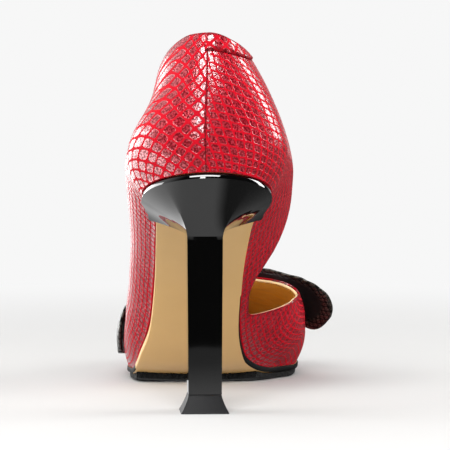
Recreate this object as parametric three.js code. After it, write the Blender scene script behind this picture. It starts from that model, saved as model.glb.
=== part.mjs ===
// A left high-heeled shoe with a low-cut inner side: a hollow embossed-leather upper that wraps
// the heel and the toes and drops almost to the sole along the arch, a back tab, an insole,
// a leather outsole with a rubber tread, a flared heel on a slim rectangular stem, a flared top
// piece and a flat bow on the vamp.
// Millimetres, +Z up, the toe towards +Y and the inner side of the foot towards +X.
import * as THREE from "three";

// Driving sizes
const lastLength = 222; // plan length over the upper, back of the heel to the toe
const ballWidth = 80; // over the upper at the ball
const heelHeight = 95; // floor to the foot of the upper at the back
const backHeight = 52.6; // height of the back seam above the heel's rim
const backLean = 6; // how far the back seam leans forward at its top
const vampHeight = 40; // top of the vamp above the sole at the throat
const toeSpring = 5; // how far the sole rises from the ball to the toe
const soleCrown = 1.2; // how far the edges of the sole rise above its middle at the ball
const wall = 1.8; // upper and lining together
const gap = 0.3; // between pieces that meet
const insoleThickness = 2;
const outsoleThickness = 2.2;
const treadThickness = 2.2;
const treadWear = 0.6; // how deep the tread is worn to its flat spot
const soleMargin = 0.5; // how far the outsole stands beyond the foot of the upper
const treadInset = 1.2; // how far the tread stays inside the outsole
const heelCentre = 28; // the ribs of the heel fan out from here
const toeCentre = 22; // and those of the toe from this far behind its tip
const backTuck = 2.2; // how far the foot of the upper tucks in under its bulge at the back
const toeTuck = 1.4;
const outerWaist = 3.4; // how far the outer wall draws in between the heel's bulge and its collar
const waistLow = 2; // from this height above the bulge
const waistSpan = 38; // and over this much height
const waistEnd = 115; // it fades out up to here along the shoe
const breastLine = 45; // where the heel ends and the outsole begins
const throatLine = 136; // where the top edge crosses the vamp
const throatTurn = 8; // length over which the top edge turns across the vamp
const throatSquare = 2.6; // how square that turn is: 2 is an ellipse
const archSill = 2.6; // height of the upper along the open arch
const treadLine = 129; // rear edge of the tread
const heelRim = 2.2; // upright band round the top of the heel
const heelOverhang = 2.6; // how far the heel's front corners stand out beyond the outsole
const neckDrop = 26; // from the seat's back down to the top of the stem
const stemWidth = 13.8;
const stemShift = -1.2; // middle of the stem, from the middle of the heel towards the inner side
const stemTaper = 0.9; // how much narrower the stem is at its foot
const stemBack = 17; // rear face of the stem, from the back of the shoe
const stemDepth = 13; // at its foot
const tipWidth = 18.8;
const tipDepth = 18.6;
const tipHeight = 7.2;
const tabLength = 24; // along the top edge
const tabDepth = 5;
const tabThickness = 0.9;
const innerSpan = 48.5; // the free inner wing of the bow, along its middle
const outerSpan = 53.5; // the outer wing, which lies down along the vamp
const wingWidth = 37;
const wingThickness = 2.6;
const wingRise = 9; // degrees by which a wing leaves the knot upwards
const innerDroop = 42; // degrees by which the free inner wing ends downwards
const innerBend = 0.62; // the share of its length over which it bends
const innerHollow = 1; // how far its edges hang below its middle
const innerTwist = 25; // degrees by which its end turns its front edge down
const outerLift = 0.7; // clear space between the outer wing and the vamp, half way along
const outerRest = 0.5; // and at its end
const knotWidth = 15;
const knotLength = 19;
const knotHeight = 9;
const bowLine = 154; // middle of the bow, from the back of the shoe
const bowLift = 1.6; // clear space between the knot and the vamp

// Height of the foot of the upper above the floor at the ball: the layers under it
const soleStack = gap + outsoleThickness + gap + treadThickness - treadWear;

// Sections of the last, from the heel's centre to beyond the toe's. "at" is a share of the last's
// length, "climb" of the heel's rise, "spring" and "crown" of those sizes, "ridge" of the vamp's
// height, and "swing", the shift of the middle line, of the ball's width.
const LENGTHWISE = ["at", "climb", "spring", "crown", "ridge", "swing"];
const lengthwiseRows = [
  [0.0, 1.0, 0, 0, 1.76, 0.0],
  [0.126, 0.89, 0, 0, 1.76, 0.0],
  [0.203, 0.792, 0, 0.1, 1.76, 0.01],
  [0.279, 0.66, 0, 0.3, 1.66, 0.02],
  [0.36, 0.497, 0, 0.5, 1.52, 0.03],
  [0.45, 0.276, 0, 0.7, 1.4, 0.04],
  [0.509, 0.14, 0, 0.9, 1.28, 0.055],
  [0.554, 0.052, 0, 1.0, 1.16, 0.073],
  [0.586, 0.016, 0, 1.0, 1.08, 0.088],
  [0.622, 0.0, 0, 1.0, 0.99, 0.104],
  [0.676, 0.0, 0, 1.0, 0.9, 0.125],
  [0.748, 0.0, 0.02, 1.0, 0.78, 0.143],
  [0.829, 0.0, 0.18, 0.9, 0.63, 0.155],
  [0.932, 0.0, 0.62, 0.7, 0.4, 0.162],
  [1.0, 0.0, 1.0, 0.5, 0.3, 0.162],
];
// Across the shoe, as shares of the ball's width: "foot" is where the wall meets the sole, "wide"
// where it bulges most and "rise" how high that is. "round" is the exponent of the arc above it.
const ACROSS = ["at", "foot", "wide", "rise", "round"];
const outerRows = [
  [0.0, 0.317, 0.378, 0.17, 1.43],
  [0.126, 0.317, 0.388, 0.18, 1.43],
  [0.203, 0.256, 0.402, 0.22, 1.42],
  [0.279, 0.26, 0.396, 0.22, 1.48],
  [0.36, 0.268, 0.387, 0.21, 1.6],
  [0.45, 0.292, 0.398, 0.2, 1.8],
  [0.532, 0.365, 0.436, 0.175, 2.2],
  [0.613, 0.43, 0.477, 0.15, 2.5],
  [0.676, 0.474, 0.497, 0.125, 2.5],
  [0.748, 0.474, 0.498, 0.112, 2.4],
  [0.829, 0.41, 0.435, 0.1, 2.2],
  [0.88, 0.345, 0.37, 0.095, 2.1],
  [0.932, 0.265, 0.288, 0.085, 2.0],
  [1.0, 0.15, 0.17, 0.07, 2.0],
];
const innerRows = [
  [0.0, 0.318, 0.388, 0.19, 1.36],
  [0.126, 0.318, 0.394, 0.21, 1.36],
  [0.203, 0.243, 0.414, 0.27, 1.6],
  [0.279, 0.213, 0.438, 0.335, 1.76],
  [0.36, 0.192, 0.438, 0.37, 1.9],
  [0.45, 0.182, 0.42, 0.35, 2.0],
  [0.532, 0.195, 0.462, 0.295, 2.6],
  [0.577, 0.25, 0.486, 0.26, 3.5],
  [0.63, 0.34, 0.498, 0.21, 3.6],
  [0.676, 0.43, 0.49, 0.16, 3.0],
  [0.748, 0.445, 0.472, 0.125, 2.4],
  [0.829, 0.375, 0.4, 0.105, 2.2],
  [0.88, 0.315, 0.338, 0.095, 2.1],
  [0.932, 0.242, 0.265, 0.09, 2.0],
  [1.0, 0.14, 0.16, 0.08, 2.0],
];
// Height of the top edge over the foot of the upper: 0 is the sill along the arch, 1 the top of the
// back seam. "at" is a share of the way from the back of the shoe to the throat.
const TOPLINE = ["at", "height"];
const outerTopRows = [
  [0.0, 1.0],
  [0.06, 1.025],
  [0.147, 1.0],
  [0.206, 0.9],
  [0.331, 0.7],
  [0.455, 0.63],
  [0.588, 0.64],
  [0.734, 0.66],
  [0.849, 0.68],
  [0.93, 0.71],
];
const innerTopRows = [
  [0.0, 1.0],
  [0.06, 0.985],
  [0.147, 0.94],
  [0.206, 0.91],
  [0.287, 0.865],
  [0.361, 0.77],
  [0.42, 0.66],
  [0.485, 0.57],
  [0.552, 0.44],
  [0.602, 0.235],
  [0.646, 0.04],
  [0.686, 0.0],
  [0.745, 0.0],
  [0.772, 0.06],
  [0.809, 0.18],
  [0.846, 0.305],
  [0.882, 0.42],
  [0.926, 0.515],
];
// Outline of the heel between its rim and the top of the stem. Each column is a share of the way
// from the rim's line to the stem's: "drop" downwards, the others inwards.
const heelRows = [
  { drop: 0.0, rear: 0.0, flank: 0.0, breast: 0.0 },
  { drop: 0.1, rear: 0.1, flank: 0.12, breast: 0.03 },
  { drop: 0.22, rear: 0.22, flank: 0.27, breast: 0.08 },
  { drop: 0.36, rear: 0.36, flank: 0.44, breast: 0.16 },
  { drop: 0.5, rear: 0.5, flank: 0.6, breast: 0.26 },
  { drop: 0.64, rear: 0.64, flank: 0.74, breast: 0.38 },
  { drop: 0.78, rear: 0.78, flank: 0.87, breast: 0.52 },
  { drop: 0.9, rear: 0.9, flank: 0.96, breast: 0.66 },
  { drop: 1.0, rear: 1.0, flank: 1.0, breast: 0.76 },
];
// The stem: "down" is a share of its height, "breast" carries on from the table above
const stemRows = [
  { down: 0.1, breast: 0.88 },
  { down: 0.25, breast: 0.95 },
  { down: 0.5, breast: 0.99 },
  { down: 1.0, breast: 1.0 },
];
// Half width of a wing of the bow from the knot to its widest place, as a share of its full half
// width. The rest of the wing is a round end.
const WING = ["along", "half"];
const wingRows = [
  [0.0, 0.4],
  [0.1, 0.47],
  [0.25, 0.65],
  [0.45, 0.9],
  [0.6, 1.0],
];

const clamp = (v, low, high) => Math.max(low, Math.min(high, v));
const mix = (a, b, k) => a + (b - a) * k;
const mixPoints = (a, b, k) => a.map((v, i) => mix(v, b[i], k));
const steps = (n) => Array.from({ length: n + 1 }, (_, i) => i / n);

// A smooth curve through a column of a table, without overshoot
function curveThrough(places, values) {
  const last = places.length - 1;
  const slopes = places.slice(1).map((p, i) => (values[i + 1] - values[i]) / (p - places[i]));
  const tangents = places.map((p, i) => {
    if (i === 0) return slopes[0];
    if (i === last) return slopes[last - 1];
    const [a, b] = [slopes[i - 1], slopes[i]];
    return a * b <= 0 ? 0 : (2 * a * b) / (a + b);
  });
  return (p) => {
    if (p <= places[0]) return values[0] + (p - places[0]) * tangents[0];
    if (p >= places[last]) return values[last] + (p - places[last]) * tangents[last];
    const i = places.findIndex((q) => q > p) - 1;
    const h = places[i + 1] - places[i];
    const k = (p - places[i]) / h;
    const rest = 1 - k;
    return (
      values[i] * rest * rest * (1 + 2 * k) +
      values[i + 1] * k * k * (3 - 2 * k) +
      h * k * rest * (rest * tangents[i] - k * tangents[i + 1])
    );
  };
}
function columns(names, rows, reach, scales) {
  const places = rows.map((row) => row[0] * reach);
  const made = {};
  names.forEach((name, c) => {
    if (c > 0) made[name] = curveThrough(places, rows.map((row) => row[c] * (scales[name] ?? 1)));
  });
  return made;
}
const lengthwise = columns(LENGTHWISE, lengthwiseRows, lastLength, {
  climb: heelHeight - soleStack,
  spring: toeSpring,
  crown: soleCrown,
  ridge: vampHeight,
  swing: ballWidth,
});
const sideOf = (sign, acrossRows, topRows) => ({
  sign,
  ...columns(ACROSS, acrossRows, lastLength, { foot: ballWidth, wide: ballWidth, rise: ballWidth }),
  ...columns(TOPLINE, topRows, throatLine, { height: backHeight - archSill }),
});
const outerSide = sideOf(-1, outerRows, outerTopRows);
const innerSide = sideOf(1, innerRows, innerTopRows);

// The bed: the surface on which the upper and the insole stand
const toeLine = lastLength - toeCentre;
const bedMiddle = (y) => soleStack + lengthwise.climb(y) + lengthwise.spring(y);
function bed(x, y) {
  const station = clamp(y, heelCentre, toeLine);
  const off = x - lengthwise.swing(station);
  const side = off < 0 ? outerSide : innerSide;
  const share = clamp(Math.abs(off) / side.foot(station), 0, 1.1);
  return bedMiddle(y) + lengthwise.crown(y) * share * share;
}
// How much further a layer reaches straight down than across its own thickness
const slant = (y) => Math.hypot(1, bedMiddle(y + 0.5) - bedMiddle(y - 0.5));

// A rib is the line that the upper follows from its foot to the ridge. Along the sides ribs lie
// square to the shoe, round the heel and the toe they fan out. "angle" is 0 on the middle line.
const alongSide = (side, y) => ({ side, station: y, angle: Math.PI / 2, end: 0 });
const roundHeel = (side, k) => ({ side, station: heelCentre, angle: (k * Math.PI) / 2, end: -1 });
const roundToe = (side, k) => ({ side, station: toeLine, angle: ((1 - k) * Math.PI) / 2, end: 1 });

// Where a rib reads the tables across the shoe: round the toe they narrow on towards the tip
const across = ({ station, angle, end }) => (end > 0 ? station + toeCentre * Math.cos(angle) : station);

// Outline of the foot of the upper, moved outwards by a margin
function footOutline(rib, margin) {
  const { side, station, angle, end } = rib;
  const reach = end < 0 ? heelCentre - backTuck : toeCentre - toeTuck;
  return [
    lengthwise.swing(station) + side.sign * (side.foot(across(rib)) + margin) * Math.sin(angle),
    station + end * (reach + margin) * Math.cos(angle),
  ];
}

// The outer wall draws in between its bulge and its collar
function waist(side, place, over) {
  if (side !== outerSide) return 0;
  const fade = 1 - clamp((place - waistEnd / 2) / (waistEnd / 2), 0, 1) ** 2;
  return outerWaist * fade * Math.sin(clamp((over - waistLow) / waistSpan, 0, 1) * Math.PI) ** 2;
}

const bulgeShare = 0.3; // share of a rib that lies below its widest point
// Heights and half widths at a share of the rib, the surface moved inwards by "inset"
function ribShape(rib, share, inset) {
  const { side, station, angle, end } = rib;
  const other = side === outerSide ? innerSide : outerSide;
  const sideways = Math.sin(angle) ** 2;
  const place = across(rib);
  const even = (column) => mix((side[column](place) + other[column](place)) / 2, side[column](place), sideways);
  const footZ = bed(...footOutline(rib, 0));
  const rise = even("rise");
  const round = even("round");
  const top = bedMiddle(station) + lengthwise.ridge(station) - inset - footZ;
  const foot = side.foot(place) - inset * 1.15;
  const wide = side.wide(place) - inset;
  const tuck = (end < 0 ? backTuck : toeTuck) + inset * 0.15;
  const reach = (end < 0 ? heelCentre : toeCentre) - inset;
  if (share <= bulgeShare) {
    const k = share / bulgeShare;
    const tucked = (1 - k) ** 2;
    return { footZ, height: rise * k, out: wide - (wide - foot) * tucked, along: reach - tuck * tucked };
  }
  const turned = (((share - bulgeShare) / (1 - bulgeShare)) * Math.PI) / 2;
  const fall = share >= 1 ? 0 : Math.cos(turned) ** (2 / round);
  const height = rise + (top - rise) * Math.sin(turned) ** (2 / round);
  const lean = backLean * ((height - rise) / (backHeight - rise)) ** 2;
  const out = wide * fall - waist(side, place, height - rise);
  return { footZ, height, out, along: end < 0 ? reach - lean : reach * fall };
}
function skin(rib, share, inset) {
  const { footZ, height, out, along } = ribShape(rib, share, inset);
  const { side, station, angle, end } = rib;
  return [
    lengthwise.swing(station) + side.sign * out * Math.sin(angle),
    station + end * along * Math.cos(angle),
    footZ + height,
  ];
}

// Share of a rib at which the top edge lies
const throatStart = throatLine - throatTurn;
function sideShare(rib) {
  const y = rib.end < 0 ? heelCentre * (1 - Math.cos(rib.angle)) : rib.station;
  const wanted = archSill + Math.max(0, rib.side.height(Math.min(y, throatStart)));
  let low = 0;
  let high = 0.97;
  for (let step = 0; step < 40; step += 1) {
    const middle = (low + high) / 2;
    if (ribShape(rib, middle, 0).height < wanted) low = middle;
    else high = middle;
  }
  return low;
}
function topShare(rib) {
  const k = clamp((rib.station - throatStart) / throatTurn, 0, 1);
  return k === 0 ? sideShare(rib) : mix(sideShare(rib), 1, 1 - (1 - k ** throatSquare) ** (1 / throatSquare));
}
// Places of the points along a rib. Those of the lower half stay level where the top edge turns.
const lowerCount = 7;
const upperCount = 6;
function ribShares(rib, top) {
  const k = clamp((rib.station - throatStart) / (2 * throatTurn), 0, 1);
  const base = mix(Math.min(0.75 * sideShare(rib), 0.4), 0.4, k);
  return [...steps(lowerCount).map((j) => base * j), ...steps(upperCount).slice(1).map((j) => mix(base, top, j))];
}

// A closed solid from triangles of points, turned so that its volume is positive
function solid(name, colour, roughness, triangles) {
  const index = new Map();
  const places = [];
  const find = (p) => {
    const key = p.map((v) => Math.round(v * 2000)).join(",");
    if (!index.has(key)) {
      index.set(key, places.length);
      places.push(new THREE.Vector3(...p));
    }
    return index.get(key);
  };
  const faces = [];
  let volume = 0;
  for (const triangle of triangles) {
    const [a, b, c] = triangle.map(find);
    if (a === b || b === c || a === c) continue;
    faces.push(a, b, c);
    volume += places[a].dot(places[b].clone().cross(places[c]));
  }
  if (volume < 0) faces.reverse();
  const geometry = new THREE.BufferGeometry().setFromPoints(places);
  geometry.setIndex(faces);
  geometry.computeVertexNormals();
  const mesh = new THREE.Mesh(geometry, new THREE.MeshStandardMaterial({ color: colour, roughness, metalness: 0 }));
  mesh.name = name;
  return mesh;
}
// Triangles between rows of points that run the same way
function between(rows) {
  const triangles = [];
  for (let i = 0; i + 1 < rows.length; i += 1) {
    for (let j = 0; j + 1 < rows[i].length; j += 1) {
      const [a, b, c, d] = [rows[i][j], rows[i + 1][j], rows[i + 1][j + 1], rows[i][j + 1]];
      triangles.push([a, b, c], [a, c, d]);
    }
  }
  return triangles;
}
const turnedOver = (triangles) => triangles.map(([a, b, c]) => [a, c, b]);

// Ribs of one side from the back seam to the toe, the open ones first
function ribsOf(side) {
  const open = [
    ...steps(10).map((k) => roundHeel(side, k)),
    ...steps(20).slice(1).map((k) => alongSide(side, mix(heelCentre, throatStart, k))),
    ...steps(6).slice(1).map((k) => alongSide(side, throatStart + throatTurn * Math.sin((k * Math.PI) / 2))),
  ];
  const closed = [
    ...steps(13).slice(1).map((k) => alongSide(side, mix(throatLine, toeLine, k))),
    ...steps(9).slice(1).map((k) => roundToe(side, k)),
  ];
  return { open, closed };
}
function makeUpper() {
  const outerRibs = ribsOf(outerSide);
  const innerRibs = ribsOf(innerSide);
  const order = [
    ...[...outerRibs.open, ...outerRibs.closed].slice(1).reverse(),
    ...innerRibs.open,
    ...innerRibs.closed,
  ];
  const back = outerRibs.open.length + outerRibs.closed.length - 1;
  const reach = outerRibs.open.length - 1;
  const outside = [];
  const inside = [];
  const rim = [];
  order.forEach((rib, i) => {
    const top = Math.abs(i - back) >= reach ? 1 : topShare(rib);
    const outer = ribShares(rib, top).map((share) => skin(rib, share, 0));
    const inner = ribShares(rib, top).map((share) => skin(rib, share, wall));
    outside.push(outer);
    inside.push(inner);
    const edge = lowerCount + upperCount;
    const crest = mixPoints(outer[edge], inner[edge], 0.5);
    const below = skin(rib, Math.max(0, top - 0.02), wall / 2);
    const up = new THREE.Vector3(...crest).sub(new THREE.Vector3(...below)).normalize();
    if (top >= 1) up.set(0, -1, 0);
    rim.push([outer[edge], crest.map((v, c) => v + up.getComponent(c) * wall * 0.3), inner[edge]]);
  });
  return solid("upper", "#b3121f", 0.3, [
    ...between(outside),
    ...turnedOver(between(inside)),
    ...between(outside.map((row, i) => [inside[i][0], row[0]])),
    ...between(rim.slice(back - reach, back + reach + 1)),
  ]);
}

// The tab covers the back seam from above and runs out along the top edge of the inner side
function makeTab() {
  const under = 1.5; // how far the tab reaches past the seam on the outer side
  const places = [-1, -0.5, ...steps(9)];
  const rows = places.map((k) => {
    const side = k < 0 ? outerSide : innerSide;
    const run = k < 0 ? -k * under : k * tabLength;
    // Arc length along the top edge from the seam
    let rib = roundHeel(side, 0);
    let length = 0;
    let before = skin(rib, topShare(rib), 0);
    for (let n = 1; n <= 400 && length < run; n += 1) {
      const share = n / 200;
      rib = share <= 1 ? roundHeel(side, share) : alongSide(side, heelCentre + (share - 1) * heelCentre);
      const here = skin(rib, topShare(rib), 0);
      length += Math.hypot(...here.map((v, c) => v - before[c]));
      before = here;
    }
    const top = topShare(rib);
    const depth = tabDepth * (k < 0 ? 1 : 1 - k ** 3) + 0.5;
    const step = skin(rib, top, 0)[2] - skin(rib, top - 0.01, 0)[2];
    const low = top - (depth / Math.max(step, 0.05)) * 0.01;
    const thick = k < 0 ? mix(tabThickness, 0.35, -k) : tabThickness;
    const shares = steps(4).map((j) => mix(low, top, j) - tabThickness / Math.max(step, 0.05) * 0.01);
    const outer = shares.map((share) => skin(rib, share, -gap - thick));
    const inner = shares.map((share) => skin(rib, share, -gap));
    return [...outer, ...inner.reverse(), outer[0]];
  });
  const cap = (row) => between([row.slice(0, 5), row.slice(5, 10).reverse()]);
  return solid("back_tab", "#a80f1c", 0.3, [
    ...between(rows),
    ...turnedOver(cap(rows[0])),
    ...cap(rows[rows.length - 1]),
  ]);
}

// A layer between pairs of outline points, outer side first, from the back to the toe
function makeLayer(name, colour, roughness, pairs, upperFace, lowerFace, count) {
  const grid = (face) => pairs.map(([a, b]) => steps(count).map((k) => {
    const [x, y] = mixPoints(a, b, k);
    return [x, y, face(x, y)];
  }));
  const top = grid(upperFace);
  const bottom = grid(lowerFace);
  const border = (j) => top.map((row, i) => [row[j], bottom[i][j]]);
  const end = (i) => top[i].map((p, j) => [p, bottom[i][j]]);
  return solid(name, colour, roughness, [
    ...between(top),
    ...turnedOver(between(bottom)),
    ...turnedOver(between(border(0))),
    ...between(border(count)),
    ...between(end(0)),
    ...turnedOver(between(end(top.length - 1))),
  ]);
}
const bothSides = (makers, margin) =>
  makers.map((make) => [footOutline(make(outerSide), margin), footOutline(make(innerSide), margin)]);
const heelPart = (n) => steps(n).map((k) => (side) => roundHeel(side, k));
const sidePart = (n, from, to) => steps(n).map((k) => (side) => alongSide(side, mix(from, to, k)));
const toePart = (n) => steps(n).slice(1).map((k) => (side) => roundToe(side, k));

const outsoleTop = (x, y) => bed(x, y) - gap * slant(y);
const outsoleFoot = (x, y) => bed(x, y) - (gap + outsoleThickness) * slant(y);
function makeInsole() {
  const makers = [...heelPart(9), ...sidePart(22, heelCentre, toeLine).slice(1), ...toePart(7)];
  const upperFace = (x, y) => bed(x, y) + insoleThickness * slant(y);
  return makeLayer("insole", "#c08a4e", 0.5, bothSides(makers, -wall * 1.25 - gap), upperFace, bed, 6);
}
function makeOutsole() {
  const makers = [...sidePart(24, breastLine + gap, toeLine), ...toePart(9)];
  return makeLayer("outsole", "#c79a5e", 0.4, bothSides(makers, soleMargin), outsoleTop, outsoleFoot, 8);
}
function makeTread() {
  const makers = [...sidePart(12, treadLine, toeLine), ...toePart(8)];
  const upperFace = (x, y) => outsoleFoot(x, y) - gap * slant(y);
  const lowerFace = (x, y) => Math.max(0, upperFace(x, y) - treadThickness * slant(y));
  return makeLayer("half_sole", "#1b1b1d", 0.9, bothSides(makers, soleMargin - treadInset), upperFace, lowerFace, 10);
}

// The heel. Its loops have a rear face, two flanks and a breast, so that each corner of the stem
// hangs from the same corner of the rim. "wide" and "deep" place a point on the stem's rectangle.
const rearCount = 8;
const rearCorner = 0.46; // share of the turn round the heel that the rear face covers
const neckHeight = heelHeight - gap - neckDrop;
function heelRing() {
  const rear = steps(rearCount).map((k) => {
    const across = 2 * k - 1;
    const rib = roundHeel(across < 0 ? outerSide : innerSide, Math.abs(across) * rearCorner);
    return { at: footOutline(rib, 0), wide: across, deep: 0 };
  });
  const makers = [
    ...steps(6).slice(1).map((k) => (side) => roundHeel(side, mix(rearCorner, 1, k))),
    ...steps(4).slice(1).map((k) => (side) => alongSide(side, mix(heelCentre, breastLine, k))),
  ];
  const overhang = ({ station }) => heelOverhang * clamp((station - heelCentre) / (breastLine - heelCentre), 0, 1);
  const flank = (side) => makers.map((make, i) => ({
    at: footOutline(make(side), overhang(make(side))),
    wide: side.sign,
    deep: (i + 1) / makers.length,
  }));
  const inner = flank(innerSide);
  const outer = flank(outerSide);
  const breast = steps(rearCount).slice(1, -1).map((k) => ({
    at: mixPoints(inner[inner.length - 1].at, outer[outer.length - 1].at, k),
    wide: 1 - 2 * k,
    deep: 1,
  }));
  return { rear, inner, outer, ring: [...rear, ...inner, ...breast, ...outer.reverse()] };
}
function heelLevel(ring, { drop, rear, flank, breast, height }) {
  return ring.map(({ at: [x, y], wide, deep }) => {
    const foot = outsoleTop(x, y) - heelRim;
    const z = height ?? mix(foot, neckHeight, drop);
    const half = (stemWidth - stemTaper * clamp((neckHeight - z) / (neckHeight - tipHeight), 0, 1)) / 2;
    const inwards = mix(rear, breast, deep ** 1.5);
    return [mix(x, stemShift + half * wide, flank), mix(y, stemBack + stemDepth * deep, inwards), z];
  });
}
function makeHeel() {
  const { rear, inner, outer, ring } = heelRing();
  const seatPoint = ([x, y]) => [x, y, outsoleTop(x, y)];
  const levels = [
    ring.map(({ at }) => seatPoint(at)),
    ...heelRows.map((row) => heelLevel(ring, row)),
    ...stemRows.map(({ down, breast }) =>
      heelLevel(ring, { drop: 1, rear: 1, flank: 1, breast, height: mix(neckHeight, tipHeight + gap, down) })),
  ];
  const foot = levels[levels.length - 1];
  const centre = [stemShift, stemBack + stemDepth / 2, foot[0][2]];
  const lid = foot.map((p, i) => [centre, foot[(i + 1) % foot.length], p]);
  const pairs = [
    ...steps(rearCount / 2).map((k) => Math.round((rearCount / 2) * (1 - k))).map((i) => [rear[i].at, rear[rearCount - i].at]),
    ...inner.map((p, i) => [outer[outer.length - 1 - i].at, p.at]),
  ];
  const seat = pairs.map(([a, b]) => steps(rearCount).map((k) => seatPoint(mixPoints(a, b, k))));
  return solid("heel", "#0c0c0e", 0.15, [
    ...between(levels.map((level) => [...level, level[0]])),
    ...turnedOver(between(seat)),
    ...lid,
  ]);
}
function makeTip() {
  const half = (stemWidth - stemTaper) / 2;
  const spare = tipDepth - stemDepth;
  const rows = steps(5).map((k) => {
    const wide = mix(half, tipWidth / 2, k ** 1.3);
    const front = stemBack + stemDepth + spare * 0.8 * k;
    const back = stemBack - spare * 0.2 * k;
    const z = tipHeight * (1 - k);
    const left = stemShift - wide;
    const right = stemShift + wide;
    return [[left, back, z], [right, back, z], [right, front, z], [left, front, z], [left, back, z]];
  });
  const [top, foot] = [rows[0], rows[rows.length - 1]];
  return solid("heel_tip", "#26262a", 0.5, [
    ...between(rows),
    [top[0], top[1], top[2]], [top[0], top[2], top[3]],
    [foot[0], foot[2], foot[1]], [foot[0], foot[3], foot[2]],
  ]);
}

// The bow lies across the vamp. Its frame: "out" across the shoe, "on" down the vamp, "up" off it
const ridgeHeight = (y) => bedMiddle(y) + lengthwise.ridge(y);
const bowSlope = (ridgeHeight(bowLine + 4) - ridgeHeight(bowLine - 4)) / 8;
const bowOn = new THREE.Vector3(0, 1, bowSlope).normalize();
const bowUp = new THREE.Vector3(0, -bowOn.z, bowOn.y);
const bowSeat = new THREE.Vector3(lengthwise.swing(bowLine), bowLine, ridgeHeight(bowLine)).addScaledVector(bowUp, bowLift);
function bowPoint(out, on, up) {
  const at = bowSeat.clone().addScaledVector(bowOn, on).addScaledVector(bowUp, up);
  return [at.x + out, at.y, at.z];
}
const wingTable = columns(WING, wingRows, 1, { half: wingWidth / 2 }).half;
const widest = wingRows[wingRows.length - 1][0];
function halfWing(u) {
  if (u <= widest) return wingTable(u);
  const k = Math.min(0.998, (u - widest) / (1 - widest));
  return wingTable(widest) * (1 - k ** 2.2) ** (1 / 2.2);
}
const wingSteps = steps(16).map((k) => 1 - (1 - k) ** 1.5);
const wingRoot = knotWidth / 2 + gap;
// The inner wing stands free: it rises from the knot, bends down and is hollow underneath
function freeWing() {
  const first = (wingRise * Math.PI) / 180;
  const bend = -((wingRise + innerDroop) * Math.PI) / 180;
  return wingSteps.map((u) => {
    const angle = first + bend * Math.min(1, u / innerBend);
    const curl = innerBend / bend;
    const straight = Math.max(0, u - innerBend);
    const out = wingRoot + innerSpan * (curl * (Math.sin(angle) - Math.sin(first)) + straight * Math.cos(angle));
    const over = innerSpan * (curl * (Math.cos(first) - Math.cos(angle)) + straight * Math.sin(angle));
    const up = knotHeight * 0.45 + over;
    const twist = Math.tan((innerTwist * Math.PI) / 180) * clamp((u - 0.45) / 0.55, 0, 1);
    return (v, lift) => {
      const hang = lift - innerHollow * mix(0.25, 1, u) * v * v - twist * v * halfWing(u);
      return bowPoint(out - Math.sin(angle) * hang, v * halfWing(u), up + Math.cos(angle) * hang);
    };
  });
}
// The outer wing follows the vamp at a distance, down its side
function drapedWing() {
  const settled = outerLift + wingThickness / 2;
  const over = (share, y, away) => skin(alongSide(outerSide, y), share, -away);
  const start = lengthwise.swing(bowLine) - wingRoot;
  const run = [];
  let before = null;
  let length = 0;
  for (let n = 0; n <= 600; n += 1) {
    const share = 1 - n / 700;
    const at = over(share, bowLine, settled);
    if (at[0] > start) continue;
    if (before) length += Math.hypot(...at.map((v, c) => v - before[c]));
    run.push({ share, length });
    before = at;
  }
  return wingSteps.map((u) => {
    const { share } = run.find((stop) => stop.length >= u * outerSpan) ?? run[run.length - 1];
    const near = mix(settled, outerRest + wingThickness / 2, clamp(1.6 * u - 0.6, 0, 1));
    const away = mix(bowLift + knotHeight * 0.45, near, Math.min(1, u * 3.5) ** 0.7);
    return (v, lift) => over(share, bowLine + v * halfWing(u) * bowOn.y, away + lift);
  });
}
function makeWing(name, stations) {
  const across = steps(8).map((k) => Math.sin((k - 0.5) * Math.PI));
  const plump = (v) => (wingThickness / 2) * mix(0.4, 1, 1 - v ** 4);
  const rows = stations.map((place) => {
    const top = across.map((v) => place(v, plump(v)));
    const bottom = across.map((v) => place(v, -plump(v)));
    return [...top, ...bottom.reverse(), top[0]];
  });
  const cap = (row) => between([row.slice(0, 9), row.slice(9, 18).reverse()]);
  return solid(name, "#0d0d0f", 0.5, [
    ...between(rows),
    ...turnedOver(cap(rows[0])),
    ...cap(rows[rows.length - 1]),
  ]);
}
function makeKnot() {
  // Round at its corners, flatter towards the wings
  const soft = (k, power) => Math.sign(k) * Math.abs(k) ** power;
  const rows = steps(10).map((k) => {
    const tilt = (k - 0.5) * Math.PI;
    return steps(16).map((turn) => {
      const round = turn * 2 * Math.PI;
      const reach = soft(Math.cos(tilt), 0.5);
      return bowPoint(
        (knotWidth / 2) * reach * soft(Math.cos(round), 0.5),
        (knotLength / 2) * soft(Math.sin(tilt), 0.8),
        knotHeight / 2 + (knotHeight / 2) * reach * soft(Math.sin(round), 0.7),
      );
    });
  });
  return solid("bow_knot", "#0d0d0f", 0.5, between(rows));
}

const group = new THREE.Group();
group.add(
  makeUpper(),
  makeTab(),
  makeInsole(),
  makeOutsole(),
  makeTread(),
  makeHeel(),
  makeTip(),
  makeWing("bow_wing_outer", drapedWing()),
  makeWing("bow_wing_inner", freeWing()),
  makeKnot(),
);
group.updateMatrixWorld(true);
const box = new THREE.Box3().setFromObject(group);
const middle = box.getCenter(new THREE.Vector3());
group.children.forEach((mesh) => mesh.geometry.translate(-middle.x, -middle.y, -box.min.z));
export default group;
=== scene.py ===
"""Looks of a left high-heeled shoe: snake-embossed red leather, tan lining and sole, a glossy black
heel and an embossed black bow. The forms repeat the part's own sections, in millimetres in the
shoe's frame (heel at y 0, toe towards +Y, inner side towards +X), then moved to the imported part's."""
import random
from bisect import bisect_right
from math import copysign, cos, hypot, pi, radians, sin, sqrt, tan

import bmesh
import bpy
import numpy as np
from mathutils import Matrix, Vector
from numpy.linalg import norm


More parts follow.
